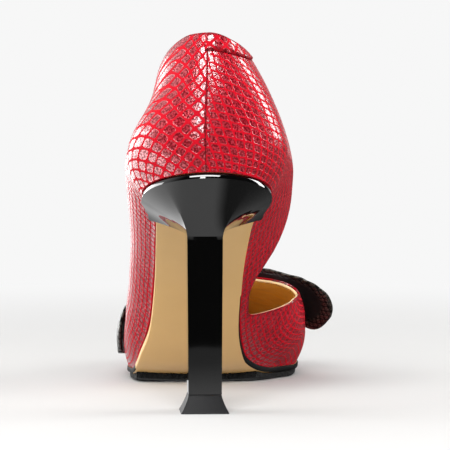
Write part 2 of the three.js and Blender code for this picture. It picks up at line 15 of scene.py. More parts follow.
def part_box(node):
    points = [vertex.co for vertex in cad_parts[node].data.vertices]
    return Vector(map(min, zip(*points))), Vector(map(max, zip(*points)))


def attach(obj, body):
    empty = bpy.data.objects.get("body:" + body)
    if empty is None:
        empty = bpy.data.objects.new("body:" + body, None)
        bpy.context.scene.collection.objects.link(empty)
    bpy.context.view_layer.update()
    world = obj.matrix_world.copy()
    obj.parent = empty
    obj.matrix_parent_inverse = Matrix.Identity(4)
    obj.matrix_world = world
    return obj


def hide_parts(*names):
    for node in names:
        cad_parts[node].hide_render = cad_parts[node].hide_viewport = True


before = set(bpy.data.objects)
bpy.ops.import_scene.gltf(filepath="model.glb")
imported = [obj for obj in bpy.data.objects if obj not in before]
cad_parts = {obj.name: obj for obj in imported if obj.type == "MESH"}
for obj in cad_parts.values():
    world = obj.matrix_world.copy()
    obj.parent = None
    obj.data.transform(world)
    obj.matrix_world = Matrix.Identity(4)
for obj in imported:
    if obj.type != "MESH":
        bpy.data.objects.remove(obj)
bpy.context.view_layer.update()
MM = 0.001

# Driving sizes, as in the part
LAST_LENGTH = 222
BALL_WIDTH = 80
HEEL_HEIGHT = 95
BACK_HEIGHT = 52.6
BACK_LEAN = 6
VAMP_HEIGHT = 40
TOE_SPRING = 5
SOLE_CROWN = 1.2
WALL = 1.8
GAP = 0.3
INSOLE_THICKNESS = 2
OUTSOLE_THICKNESS = 2.2
TREAD_THICKNESS = 2.2
TREAD_WEAR = 0.6
SOLE_MARGIN = 0.5
SOLE_FLUSH = -0.45  # the same along the arch, where the upper hides the painted edge
TREAD_INSET = 1.2
HEEL_CENTRE = 28
TOE_CENTRE = 22
BACK_TUCK = 2.2
TOE_TUCK = 1.4
OUTER_WAIST = 3.4
WAIST_LOW = 2
WAIST_SPAN = 38
WAIST_END = 115
BREAST_LINE = 45
THROAT_LINE = 136
THROAT_TURN = 8
THROAT_SQUARE = 2.6
ARCH_SILL = 2.6
TREAD_LINE = 129
HEEL_RIM = 2.2
HEEL_OVERHANG = 2.6
NECK_DROP = 26
STEM_WIDTH = 13.8
STEM_SHIFT = -1.2
STEM_TAPER = 0.9
STEM_BACK = 17
STEM_DEPTH = 13
TIP_WIDTH = 18.8
TIP_DEPTH = 18.6
TIP_HEIGHT = 7.2
TAB_LENGTH = 24
TAB_DEPTH = 5
TAB_THICKNESS = 0.9
INNER_SPAN = 48.5
OUTER_SPAN = 53.5
WING_WIDTH = 37
WING_THICKNESS = 2.6
WING_RISE = 9
INNER_DROOP = 42
INNER_BEND = 0.62
INNER_HOLLOW = 1
INNER_TWIST = 25
OUTER_LIFT = 0.7
OUTER_REST = 0.5
KNOT_WIDTH = 15
KNOT_LENGTH = 19
KNOT_HEIGHT = 9
BOW_LINE = 154
BOW_LIFT = 1.6

SOLE_STACK = GAP + OUTSOLE_THICKNESS + GAP + TREAD_THICKNESS - TREAD_WEAR
TOE_LINE = LAST_LENGTH - TOE_CENTRE
THROAT_START = THROAT_LINE - THROAT_TURN
BULGE_SHARE = 0.3  # of a rib: where the upper bulges most
FOOT_INSET = 1.15  # the inside lies this much deeper than the wall at the foot

# Sections of the last. "at" is a share of its length, the other columns shares of the sizes above
LENGTHWISE = ("at", "climb", "spring", "crown", "ridge", "swing")
LENGTHWISE_ROWS = (
    (0, 1, 0, 0, 1.76, 0),
    (0.126, 0.89, 0, 0, 1.76, 0),
    (0.203, 0.792, 0, 0.1, 1.76, 0.01),
    (0.279, 0.66, 0, 0.3, 1.66, 0.02),
    (0.36, 0.497, 0, 0.5, 1.52, 0.03),
    (0.45, 0.276, 0, 0.7, 1.4, 0.04),
    (0.509, 0.14, 0, 0.9, 1.28, 0.055),
    (0.554, 0.052, 0, 1, 1.16, 0.073),
    (0.586, 0.016, 0, 1, 1.08, 0.088),
    (0.622, 0, 0, 1, 0.99, 0.104),
    (0.676, 0, 0, 1, 0.9, 0.125),
    (0.748, 0, 0.02, 1, 0.78, 0.143),
    (0.829, 0, 0.18, 0.9, 0.63, 0.155),
    (0.932, 0, 0.62, 0.7, 0.4, 0.162),
    (1, 0, 1, 0.5, 0.3, 0.162),
)
ACROSS = ("at", "foot", "wide", "rise", "round")
OUTER_ROWS = (
    (0, 0.317, 0.378, 0.17, 1.43),
    (0.126, 0.317, 0.388, 0.18, 1.43),
    (0.203, 0.256, 0.402, 0.22, 1.42),
    (0.279, 0.26, 0.396, 0.22, 1.48),
    (0.36, 0.268, 0.387, 0.21, 1.6),
    (0.45, 0.292, 0.398, 0.2, 1.8),
    (0.532, 0.365, 0.436, 0.175, 2.2),
    (0.613, 0.43, 0.477, 0.15, 2.5),
    (0.676, 0.474, 0.497, 0.125, 2.5),
    (0.748, 0.474, 0.498, 0.112, 2.4),
    (0.829, 0.41, 0.435, 0.1, 2.2),
    (0.88, 0.345, 0.37, 0.095, 2.1),
    (0.932, 0.265, 0.288, 0.085, 2.0),
    (1, 0.15, 0.17, 0.07, 2.0),
)
INNER_ROWS = (
    (0, 0.318, 0.388, 0.19, 1.36),
    (0.126, 0.318, 0.394, 0.21, 1.36),
    (0.203, 0.243, 0.414, 0.27, 1.6),
    (0.279, 0.213, 0.438, 0.335, 1.76),
    (0.36, 0.192, 0.438, 0.37, 1.9),
    (0.45, 0.182, 0.42, 0.35, 2.0),
    (0.532, 0.195, 0.462, 0.295, 2.6),
    (0.577, 0.25, 0.486, 0.26, 3.5),
    (0.63, 0.34, 0.498, 0.21, 3.6),
    (0.676, 0.43, 0.49, 0.16, 3.0),
    (0.748, 0.445, 0.472, 0.125, 2.4),
    (0.829, 0.375, 0.4, 0.105, 2.2),
    (0.88, 0.315, 0.338, 0.095, 2.1),
    (0.932, 0.242, 0.265, 0.09, 2.0),
    (1, 0.14, 0.16, 0.08, 2.0),
)
TOPLINE = ("at", "height")
OUTER_TOP_ROWS = (
    (0, 1),
    (0.06, 1.025),
    (0.147, 1),
    (0.206, 0.9),
    (0.331, 0.7),
    (0.455, 0.63),
    (0.588, 0.64),
    (0.734, 0.66),
    (0.849, 0.68),
    (0.93, 0.71),
)
INNER_TOP_ROWS = (
    (0, 1),
    (0.06, 0.985),
    (0.147, 0.94),
    (0.206, 0.91),
    (0.287, 0.865),
    (0.361, 0.77),
    (0.42, 0.66),
    (0.485, 0.57),
    (0.552, 0.44),
    (0.602, 0.235),
    (0.646, 0.04),
    (0.686, 0),
    (0.745, 0),
    (0.772, 0.06),
    (0.809, 0.18),
    (0.846, 0.305),
    (0.882, 0.42),
    (0.926, 0.515),
)
# The heel between its rim and its stem: its rear face runs straight to a crease
HEEL = ("drop", "rear", "flank", "breast")
HEEL_ROWS = (
    (0, 0, 0, 0),
    (0.1, 0.1, 0.12, 0.03),
    (0.22, 0.22, 0.27, 0.08),
    (0.36, 0.36, 0.44, 0.16),
    (0.5, 0.5, 0.6, 0.26),
    (0.64, 0.64, 0.74, 0.38),
    (0.78, 0.78, 0.87, 0.52),
    (0.9, 0.9, 0.96, 0.66),
    (1, 1, 1, 0.76),
)
STEM = ("down", "breast")
STEM_ROWS = ((0, 0.76), (0.1, 0.88), (0.25, 0.95), (0.5, 0.99), (1, 1))
WING_ROWS = ((0, 0.4), (0.1, 0.47), (0.25, 0.65), (0.45, 0.9), (0.6, 1))


def clamp(value, low, high):
    return max(low, min(high, value))


def mix(a, b, k):
    return a + (b - a) * k


def steps(n):
    return [i / n for i in range(n + 1)]


def ease(k):
    k = clamp(k, 0.0, 1.0)
    return k * k * (3 - 2 * k)


def curve_through(places, values):
    """A smooth curve through a column of a table, without overshoot."""
    slopes = [(values[i + 1] - values[i]) / (places[i + 1] - places[i]) for i in range(len(places) - 1)]
    inner = [0 if a * b <= 0 else 2 * a * b / (a + b) for a, b in zip(slopes, slopes[1:])]
    tangents = [slopes[0], *inner, slopes[-1]]

    def at(p):
        if p <= places[0]:
            return values[0] + (p - places[0]) * tangents[0]
        if p >= places[-1]:
            return values[-1] + (p - places[-1]) * tangents[-1]
        i = bisect_right(places, p) - 1
        h = places[i + 1] - places[i]
        k = (p - places[i]) / h
        rest = 1 - k
        ends = values[i] * rest * rest * (1 + 2 * k) + values[i + 1] * k * k * (3 - 2 * k)
        return ends + h * k * rest * (rest * tangents[i] - k * tangents[i + 1])

    return at


def columns(names, rows, reach, **scales):
    places = [row[0] * reach for row in rows]
    found = {}
    for c, name in enumerate(names[1:], start=1):
        found[name] = curve_through(places, [row[c] * scales.get(name, 1) for row in rows])
    return found


LAST = columns(
    LENGTHWISE,
    LENGTHWISE_ROWS,
    LAST_LENGTH,
    climb=HEEL_HEIGHT - SOLE_STACK,
    spring=TOE_SPRING,
    crown=SOLE_CROWN,
    ridge=VAMP_HEIGHT,
    swing=BALL_WIDTH,
)


def side_of(sign, across_rows, top_rows):
    side = {"sign": sign}
    side.update(
        columns(ACROSS, across_rows, LAST_LENGTH, foot=BALL_WIDTH, wide=BALL_WIDTH, rise=BALL_WIDTH)
    )
    side.update(columns(TOPLINE, top_rows, THROAT_LINE, height=BACK_HEIGHT - ARCH_SILL))
    return side


OUTER = side_of(-1, OUTER_ROWS, OUTER_TOP_ROWS)
INNER = side_of(1, INNER_ROWS, INNER_TOP_ROWS)


def bed_middle(y):
    return SOLE_STACK + LAST["climb"](y) + LAST["spring"](y)


def ridge_height(y):
    return bed_middle(y) + LAST["ridge"](y)


def bed(x, y):
    station = clamp(y, HEEL_CENTRE, TOE_LINE)
    off = x - LAST["swing"](station)
    side = OUTER if off < 0 else INNER
    share = clamp(abs(off) / side["foot"](station), 0, 1.1)
    return bed_middle(y) + LAST["crown"](y) * share * share


def slant(y):
    return hypot(1, bed_middle(y + 0.5) - bed_middle(y - 0.5))


def waist_wave(over):
    return sin(clamp((over - WAIST_LOW) / WAIST_SPAN, 0, 1) * pi) ** 2


class Rib:
    """The line that the upper follows from its foot to the ridge."""

    def __init__(self, side, station, angle=pi / 2, end=0):
        self.side, self.station, self.angle, self.end = side, station, angle, end
        self.reach, self.tuck = (HEEL_CENTRE, BACK_TUCK) if end < 0 else (TOE_CENTRE, TOE_TUCK)
        other = INNER if side is OUTER else OUTER
        place = station + TOE_CENTRE * cos(angle) if end > 0 else station
        sideways = sin(angle) ** 2

        def even(column):
            own = side[column](place)
            return mix((own + other[column](place)) / 2, own, sideways)

        self.rise, self.round = even("rise"), even("round")
        self.foot, self.wide = side["foot"](place), side["wide"](place)
        fade = 1 - clamp((place - WAIST_END / 2) / (WAIST_END / 2), 0, 1) ** 2
        self.waist = OUTER_WAIST * fade if side is OUTER else 0.0
        self.swing = LAST["swing"](station)
        self.foot_z = bed(*self.outline(0))
        self.ridge_z = ridge_height(station)

    def outline(self, margin):
        return self.place(self.foot + margin, self.reach - self.tuck + margin)

    def place(self, out, along):
        return (
            self.swing + self.side["sign"] * out * sin(self.angle),
            self.station + self.end * along * cos(self.angle),
        )

    def shape(self, share, inset=0.0):
        """Height over the foot, half width and reach along the shoe at a share of the rib."""
        top = self.ridge_z - inset - self.foot_z
        foot = self.foot - inset * FOOT_INSET
        wide = self.wide - inset
        tuck = self.tuck + inset * (FOOT_INSET - 1)
        reach = self.reach - inset
        if share <= BULGE_SHARE:
            k = share / BULGE_SHARE
            tucked = (1 - k) ** 2
            return self.rise * k, wide - (wide - foot) * tucked, reach - tuck * tucked
        turned = (share - BULGE_SHARE) / (1 - BULGE_SHARE) * pi / 2
        fall = 0 if share >= 1 else cos(turned) ** (2 / self.round)
        height = self.rise + (top - self.rise) * sin(turned) ** (2 / self.round)
        lean = BACK_LEAN * ((height - self.rise) / (BACK_HEIGHT - self.rise)) ** 2
        out = wide * fall - self.waist * waist_wave(height - self.rise)
        return height, out, reach - lean if self.end < 0 else reach * fall

    def skin(self, share, inset=0.0):
        height, out, along = self.shape(share, inset)
        return np.array((*self.place(out, along), self.foot_z + height))

    def side_share(self):
        y = HEEL_CENTRE * (1 - cos(self.angle)) if self.end < 0 else self.station
        wanted = ARCH_SILL + max(0, self.side["height"](min(y, THROAT_START)))
        low, high = 0.0, 0.97
        for _ in range(40):
            middle = (low + high) / 2
            low, high = (middle, high) if self.shape(middle)[0] < wanted else (low, middle)
        return low

    def top_share(self):
        k = clamp((self.station - THROAT_START) / THROAT_TURN, 0, 1)
        share = self.side_share()
        if k == 0:
            return share
        return mix(share, 1, 1 - (1 - k**THROAT_SQUARE) ** (1 / THROAT_SQUARE))


def round_heel(side, k):
    return Rib(side, HEEL_CENTRE, k * pi / 2, -1)


def round_toe(side, k):
    return Rib(side, TOE_LINE, (1 - k) * pi / 2, 1)


# From the shoe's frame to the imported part's, read off the top piece
TIP_SPARE = TIP_DEPTH - STEM_DEPTH
TIP_BEHIND = 0.2  # share of the spare depth that lies behind the stem
tip_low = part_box("heel_tip")[0]
SHIFT = np.array(
    (
        tip_low.x / MM - (STEM_SHIFT - TIP_WIDTH / 2),
        tip_low.y / MM - (STEM_BACK - TIP_SPARE * TIP_BEHIND),
        0.0,
    )
)


def turn_to(place, aim):
    return (Vector(aim) - Vector(place)).to_track_quat("-Z", "Y")


def link(name, data):
    made = bpy.data.objects.new(name, data)
    bpy.context.scene.collection.objects.link(made)
    return made


class Piece:
    """Gathers grids of points, each with its maps, and makes one mesh object of them."""

    def __init__(self, name, slot, materials, replaces=()):
        self.name, self.slot, self.materials, self.replaces = name, slot, materials, replaces
        self.points, self.faces, self.slots, self.maps = [], [], [], {}

    def grid(self, points, slot=0, turn=False, **maps):
        """A map has a pair for each point, for each row, for each column, or one number for all."""
        points = np.asarray(points, float)
        n, m = points.shape[:2]
        first = len(self.points)
        self.points.extend(points.reshape(-1, 3))
        for name, values in maps.items():
            flat = np.broadcast_to(np.asarray(values, float), (n, m, 2)).reshape(-1, 2)
            self.maps.setdefault(name, {}).update(zip(range(first, first + n * m), flat))
        for i in range(n - 1):
            for j in range(m - 1):
                a = first + i * m + j
                quad = [a, a + m, a + m + 1, a + 1]
                self.faces.append(quad[::-1] if turn else quad)
                self.slots.append(slot)

    def close(self, row, middle, **maps):
        self.grid([row, [middle] * len(row)], **maps)

    def make(self, sharp, weld=0.004, outward=True):
        mesh = bpy.data.meshes.new(self.name)
        mesh.from_pydata([tuple((p + SHIFT) * MM) for p in self.points], [], self.faces)
        for material in self.materials:
            mesh.materials.append(MATERIALS[material])
        mesh.polygons.foreach_set("material_index", self.slots)
        corners = [v for face in self.faces for v in face]
        for name, values in self.maps.items():
            layer = mesh.uv_layers.new(name=name)
            flat = [c for v in corners for c in values.get(v, (0.0, 0.0))]
            layer.data.foreach_set("uv", flat)
        work = bmesh.new()
        work.from_mesh(mesh)
        bmesh.ops.remove_doubles(work, verts=work.verts, dist=weld * MM)
        bmesh.ops.dissolve_degenerate(work, edges=work.edges, dist=weld * MM * 0.5)
        if outward:
            bmesh.ops.recalc_face_normals(work, faces=work.faces)
        work.to_mesh(mesh)
        work.free()
        mesh.shade_smooth()
        if sharp:
            mesh.set_sharp_from_angle(angle=radians(sharp))
        made = link(self.name, mesh)
        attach(made, "root")
        if self.replaces:
            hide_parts(*self.replaces)


class Graph:
    """The nodes of a material or a world, with short calls for them."""

    def __init__(self, owner, surface, **values):
        owner.use_nodes = True
        self.owner, self.tree = owner, owner.node_tree
        self.surface = self.tree.nodes[surface]
        self.finish(**values)

    def put(self, node, socket, value):
        if isinstance(value, bpy.types.NodeSocket):
            self.tree.links.new(value, node.inputs[socket])
        elif isinstance(value, tuple) and len(value) == 3 and node.inputs[socket].type == "RGBA":
            node.inputs[socket].default_value = (*value, 1.0)
        else:
            node.inputs[socket].default_value = value

    def finish(self, **values):
        for socket, value in values.items():
            self.put(self.surface, socket.replace("_", " "), value)
        return self.owner

    def add(self, kind, inputs, out=0, **settings):
        node = self.tree.nodes.new("ShaderNode" + kind)
        for key, value in settings.items():
            setattr(node, key, value)
        for key, value in inputs.items():
            self.put(node, key, value)
        return node.outputs[out]

    def math(self, operation, a, b=0.0, c=0.0):
        return self.add("Math", {0: a, 1: b, 2: c}, operation=operation)

    def times(self, a, b):
        return self.math("MULTIPLY", a, b)

    def scaled(self, a, b, c):
        return self.math("MULTIPLY_ADD", a, b, c)

    def soft(self, value, low, high):
        names = {"Value": value, "From Min": low, "From Max": high}
        return self.add("MapRange", names, interpolation_type="SMOOTHSTEP")

    def blend(self, factor, a, b):
        return self.add("Mix", {0: factor, 6: a, 7: b}, out=2, data_type="RGBA")

    def between(self, factor, a, b):
        return self.add("Mix", {0: factor, 2: a, 3: b})

    def map(self, name):
        return self.add("UVMap", {}, uv_map=name)

    def parts(self, vector):
        return self.add("SeparateXYZ", {0: vector}).node.outputs

    def place(self):
        return self.add("TexCoord", {}, out="Object")

    def noise(self, vector, scale, detail=2.0, roughness=0.5, out=0):
        names = {"Vector": vector, "Scale": scale, "Detail": detail, "Roughness": roughness}
        return self.add("TexNoise", names, out=out)

    def bump(self, height, distance):
        return self.add("Bump", {"Height": height, "Distance": distance, "Strength": 1.0})


def new_material(name, **values):
    return Graph(bpy.data.materials.new(name), "Principled BSDF", **values)


def snake_leather(name, line, cell, foil, shine, line_roughness, cell_roughness, relief, coat):
    """Embossed scales on the "net" map: a net of lines round glossy, finely engraved cells."""
    g = new_material(name, Specular_IOR_Level=0.1, Coat_Roughness=0.12, Coat_IOR=coat)
    flat = g.map("mm")
    net = g.parts(g.map("net"))
    drift = g.parts(g.noise(flat, 70.0, 1.0, out=1))
    near = []
    for axis in (0, 1):
        moved = g.scaled(g.math("SUBTRACT", drift[axis], 0.5), 0.7, net[axis])
        off = g.math("ABSOLUTE", g.math("SUBTRACT", g.math("FRACT", moved), 0.5))
        near.append(g.math("POWER", g.times(off, 2.0), 4.0))
    edge = g.math("POWER", g.math("ADD", *near), 0.25)
    size = g.scaled(g.noise(flat, 45.0), 0.22, 0.69)
    inside = g.soft(edge, g.math("ADD", size, 0.05), g.math("SUBTRACT", size, 0.06))
    # Flecks of foil in the cells, duller in patches
    engraved = g.noise(flat, 1150.0, 2.0, 0.6)
    fleck = g.soft(engraved, 0.44, 0.58)
    patch = g.soft(g.noise(flat, 220.0), 0.3, 0.7)
    leaf = g.blend(g.times(patch, 0.45), g.blend(fleck, cell, foil), cell)
    # Dark in the back seam and along the folded edge
    seam = g.math("ABSOLUTE", g.parts(flat)[0])
    border = g.parts(g.map("edge"))[0]
    fold = g.times(g.soft(border, 0.0009, 0.0003), 0.55)
    shade = g.math("MAXIMUM", g.soft(seam, 0.0003, 0.0001), fold)
    colour = g.blend(inside, line, leaf)
    colour = g.blend(g.times(shade, 0.85), colour, tuple(c * 0.12 for c in line))
    seen = g.times(inside, g.math("SUBTRACT", 1.0, shade))
    cell_finish = g.scaled(engraved, 0.16, cell_roughness - 0.08)
    height = g.scaled(engraved, 0.8, inside)
    height = g.scaled(g.soft(seam, 0.0007, 0.0), -1.6, height)
    normal = g.bump(height, relief)
    return g.finish(
        Base_Color=colour,
        Metallic=g.times(g.times(seen, fleck), shine),
        Roughness=g.between(inside, line_roughness, cell_finish),
        Normal=normal,
        Coat_Weight=g.times(seen, g.scaled(fleck, 0.75, 0.25)),
        Coat_Normal=normal,
    )


# Colour, roughness, other values of the surface, the grain's scale and detail, and its depth
PLAIN_MATERIALS = {
    "bow_lining": ((0.008, 0.007, 0.007), 0.6, {"Specular_IOR_Level": 0.3}, (900.0, 4.0, 0.6), 0.0001),
    "edge_paint": ((0.004, 0.004, 0.004), 0.5, {"Specular_IOR_Level": 0.05}, (700.0, 2.0), 0.00008),
    "heel_gloss": ((0.001,) * 3, 0.05, {"Coat_Weight": 0.6, "Coat_Roughness": 0.03}, (60.0, 1.0), 0.0001),
    "top_piece": ((0.008, 0.008, 0.0085), 0.4, {"Specular_IOR_Level": 0.1}, (1400.0, 3.0), 0.00005),
    "thread": ((0.33, 0.17, 0.05), 0.6, {}, (3000.0, 1.0), 0.00008),
}


def make_materials():
    made = {}
    made["red"] = snake_leather(
        "red_snake",
        line=(0.47, 0.0, 0.01),
        cell=(0.14, 0.0, 0.004),
        foil=(0.5, 0.03, 0.05),
        shine=0.2,
        line_roughness=0.8,
        cell_roughness=0.34,
        relief=0.00013,
        coat=2.0,
    )
    made["black"] = snake_leather(
        "black_snake",
        line=(0.003, 0.0025, 0.002),
        cell=(0.008, 0.007, 0.006),
        foil=(0.12, 0.105, 0.085),
        shine=0.5,
        line_roughness=0.7,
        cell_roughness=0.35,
        relief=0.00024,
        coat=1.7,
    )
    for name, (colour, roughness, values, grain, depth) in PLAIN_MATERIALS.items():
        g = new_material(name, Base_Color=colour, Roughness=roughness, **values)
        made[name] = g.finish(Normal=g.bump(g.noise(g.place(), *grain), depth))

    # The lining: pale at its cut edge, a groove for the stitches darkened with painted shade, soft creases
    g = new_material("lining", Roughness=0.42)
    flat = g.map("mm")
    border = g.parts(g.map("edge"))[0]
    tone = g.blend(g.noise(flat, 120.0), (0.92, 0.54, 0.12), (0.98, 0.66, 0.22))
    tone = g.blend(g.soft(border, 0.0013, 0.0007), tone, (0.84, 0.66, 0.38))
    groove = g.math("ABSOLUTE", g.math("SUBTRACT", border, STITCH_LINE * MM))
    # Painted shade: the tone darkens along the groove of the stitches
    tone = g.blend(g.times(g.soft(groove, 0.0005, 0.0), 0.35), tone, (0.2, 0.1, 0.03))
    turned = g.add("Mapping", {"Vector": flat, "Rotation": (0, 0, 0.9), "Scale": (1.0, 0.16, 1.0)})
    crease = g.soft(g.noise(turned, 170.0, 1.0), 0.35, 0.7)
    grain = g.noise(flat, 1500.0, 3.0, 0.6)
    height = g.scaled(crease, 2.4, g.times(grain, 0.25))
    height = g.scaled(g.soft(groove, 0.0007, 0.0), -1.6, height)
    made["lining"] = g.finish(Base_Color=tone, Normal=g.bump(height, 0.00012))

    g = new_material("sock", Roughness=0.45)
    tone = g.blend(g.noise(g.place(), 90.0), (0.5, 0.3, 0.11), (0.6, 0.38, 0.16))
    made["sock"] = g.finish(Base_Color=tone, Normal=g.bump(g.noise(g.place(), 1600.0, 3.0, 0.6), 0.00006))

    g = new_material("sole_leather", Roughness=0.4, Coat_Weight=0.08, Coat_Roughness=0.3)
    fine = g.noise(g.place(), 1800.0, 3.0, 0.6)
    tone = g.blend(g.noise(g.place(), 55.0, 3.0), (0.66, 0.4, 0.14), (0.72, 0.45, 0.17))
    tone = g.blend(g.times(g.soft(fine, 0.35, 0.2), 0.4), tone, (0.5, 0.28, 0.09))
    made["sole"] = g.finish(Base_Color=tone, Normal=g.bump(fine, 0.00005))

    g = new_material("rubber", Base_Color=(0.004, 0.004, 0.004), Roughness=0.8, Specular_IOR_Level=0.2)
    cells = g.add("TexVoronoi", {"Vector": g.place(), "Scale": 900.0})
    height = g.scaled(g.noise(g.place(), 1500.0, 3.0, 0.7), 0.7, cells)
    made["rubber"] = g.finish(Normal=g.bump(height, 0.0004))
    return made


STITCH_LINE = 2.6  # how far the row of stitches lies under the top edge
MATERIALS = make_materials()

# The net of scales. At the back it stands askew, further forward it turns along the shoe
SEAM_K = 0.04  # the back seam, as a share of the turn round the heel, on the outer side
CELL_LONG = 3.2
CELL_HIGH = 2.6
NET_TURN = 60  # this far behind the throat the net begins to turn to the shoe's own directions
NET_TURN_SPAN = 50
# Tilt and level are cells per mm up a rib, pace and climb cells per mm along the upper. Each has its
# value at the back seam, and the start and length of the change to its value at the throat.
NET = ("tilt", "pace", "level", "climb")
NET_OUTER = ((1 / 5.4, 0, 78), (1 / 5.8, 10, 60), (-1 / 5.4, 15, 60), (1 / 5.8, 5, 65))
NET_INNER = ((0.1, 0, 60), (1 / 3.3, 0, 60), (1 / 3.1, 0, 60), (0.03, 0, 40))
RUN_SHARE = 0.42  # the length of the upper is measured at this share of its ribs


def gathered(values, places):
    """Running integral of values over places."""
    total = [0.0]
    for i in range(1, len(places)):
        total.append(total[-1] + (places[i] - places[i - 1]) * (values[i] + values[i - 1]) / 2)
    return total


def upper_ribs(side):
    turn = [0.0, SEAM_K / 2, SEAM_K, *[mix(SEAM_K, 1, k) for k in steps(24)[1:]]]
    opened = [round_heel(side, k) for k in turn]
    opened += [Rib(side, mix(HEEL_CENTRE, THROAT_START, k)) for k in steps(56)[1:]]
    opened += [Rib(side, THROAT_START + THROAT_TURN * sin(k * pi / 2)) for k in steps(12)[1:]]
    closed = [Rib(side, mix(THROAT_LINE, TOE_LINE, k)) for k in steps(34)[1:]]
    closed += [round_toe(side, k) for k in steps(18)[1:]]
    return opened, closed


def rib_shares(rib, top):
    k = clamp((rib.station - THROAT_START) / (2 * THROAT_TURN), 0, 1)
    base = mix(min(0.75 * rib.side_share(), 0.4), 0.4, k)
    return [base * j for j in steps(14)] + [mix(base, top, j) for j in steps(18)[1:]]


def rib_lengths(points):
    gaps = norm(np.diff(points, axis=0), axis=1)
    return np.concatenate(([0.0], np.cumsum(gaps)))


class HalfUpper:
    """One side of the upper: its ribs from the back to the toe, with points and maps for each."""

    def __init__(self, side):
        opened, closed = upper_ribs(side)
        self.open_count = len(opened)
        self.ribs = opened + closed
        self.tops = [rib.top_share() for rib in opened] + [1.0] * len(closed)
        shares = [rib_shares(rib, top) for rib, top in zip(self.ribs, self.tops)]
        self.outside = [[rib.skin(s) for s in row] for rib, row in zip(self.ribs, shares)]
        self.inside = [[rib.skin(s, WALL) for s in row] for rib, row in zip(self.ribs, shares)]
        self.lengths = [rib_lengths(row) for row in self.outside]
        run = rib_lengths([rib.skin(RUN_SHARE) for rib in self.ribs])
        # The seam is the third rib of the outer side
        self.from_seam = (run if side is INNER else -run) + run[2]
        full = [rib_lengths([rib.skin(s) for s in steps(60)])[-1] for rib in self.ribs]
        self.nets = {outer: self.net(outer, full, self.open_count - 1) for outer in (True, False)}

    def net(self, outer, full, throat):
        """Cells along and up the upper at each point, as they run on from the outer or inner side."""
        away = self.from_seam[: throat + 1] * (-1 if outer else 1)
        pitch = full[throat] / round(full[throat] / CELL_HIGH)
        ends = dict(tilt=0.0, pace=1 / CELL_LONG, level=(-1 if outer else 1) / pitch, climb=0.0)
        tilt, pace, level, climb = (
            [mix(value, ends[name], ease((u - start) / span)) for u in away]
            for name, (value, start, span) in zip(NET, NET_OUTER if outer else NET_INNER)
        )
        along, across = gathered(pace, away), gathered(climb, away)
        # Whole cells from the seam to the throat and up to the ridge, so that the sides meet
        whole = round(along[throat])
        fit = whole / along[throat]
        loose = across[throat] + level[throat] * full[throat]
        settle = round(loose) - loose
        rows = []
        for i, row in enumerate(self.lengths):
            rib = self.ribs[i]
            left = full[i] - row
            wide, on = left * sin(rib.angle), left * cos(rib.angle) / CELL_LONG
            if i <= throat:
                turned = ease((rib.station - THROAT_LINE + NET_TURN) / NET_TURN_SPAN)
                p = along[i] * fit + tilt[i] * row + turned * on
                q = across[i] + settle + level[i] * mix(row, full[i] - wide, turned)
            else:
                p = whole + (rib.station - THROAT_LINE) / CELL_LONG + on
                q = across[throat] + settle + level[throat] * (full[throat] - wide)
            rows.append(list(zip(p, q)))
        return rows

    def flat(self):
        return [[(u * MM, v * MM) for v in row] for u, row in zip(self.from_seam, self.lengths)]

    def edge(self):
        """How far each point lies under the top edge, and far off where there is none."""
        far = [0] * self.open_count + [1000] * (len(self.ribs) - self.open_count)
        return [[((row[-1] - v + f) * MM, 0) for v in row] for row, f in zip(self.lengths, far)]


HALVES = {"outer": HalfUpper(OUTER), "inner": HalfUpper(INNER)}
# Section of the top edge: share of the wall's thickness and height as a share of its crest
LEATHER_RIM = ((0.0, 0.0), (0.05, 0.45), (0.17, 0.85), (0.3, 0.98), (0.42, 0.72), (0.48, 0.2))
LINING_RIM = ((0.5, 0.2), (0.56, 0.55), (0.7, 0.8), (0.85, 0.65), (0.95, 0.3), (1.0, 0.0))
RIM_CREST = WALL * 0.3
# The bottom edge reaches down into the fitting gap, so that nothing shows through it
FOOT_DROP = np.array((0.0, 0.0, GAP * 0.85))


def rim_rows(half, section):
    rows = []
    for i in range(half.open_count):
        rib, top = half.ribs[i], half.tops[i]
        outer, inner = half.outside[i][-1], half.inside[i][-1]
        below = rib.skin(max(0, top - 0.02), WALL / 2)
        up = (outer + inner) / 2 - below
        up = np.array((0.0, -1.0, 0.0)) if top >= 1 else up / norm(up)
        rows.append([mix(outer, inner, a) + up * RIM_CREST * h for a, h in section])
    return rows


def make_upper():
    leather = Piece("upper_leather", "red_leather", ["red"], ["upper"])
    lining = Piece("upper_lining", "tan_leather", ["lining"])
    for name, half in HALVES.items():
        turn = name == "outer"
        flat, edge = half.flat(), half.edge()
        # Up to the seam the outer side carries on the inner side's net
        cuts = [(0, 3, False), (2, len(half.ribs), True)] if turn else [(0, len(half.ribs), False)]
        for first, last, outer in cuts:
            part = slice(first, last)
            net = half.nets[outer][part]
            leather.grid(half.outside[part], turn=not turn, net=net, mm=flat[part], edge=edge[part])
        foot = [[a[0], a[0] - FOOT_DROP, b[0] - FOOT_DROP] for a, b in zip(half.outside, half.inside)]
        leather.grid(foot, turn=turn, mm=[row[:1] for row in flat])
        lining.grid(half.inside, turn=turn, mm=flat, edge=np.array(edge) + (1.3 * MM, 0))
        rim = {"net": half.nets[turn], "mm": flat}
        rim = {key: [row[-1:] for row in rows[: half.open_count]] for key, rows in rim.items()}
        fold = [(0.0006 if j < 3 else 0.0, 0) for j in range(len(LEATHER_RIM))]
        leather.grid(rim_rows(half, LEATHER_RIM), turn=not turn, edge=[fold], **rim)
        fold = [(0.0002 * j, 0) for j in range(len(LINING_RIM))]
        lining.grid(rim_rows(half, LINING_RIM), turn=not turn, edge=[fold], mm=rim["mm"])
    leather.make(sharp=0, outward=False)
    lining.make(sharp=0, outward=False)


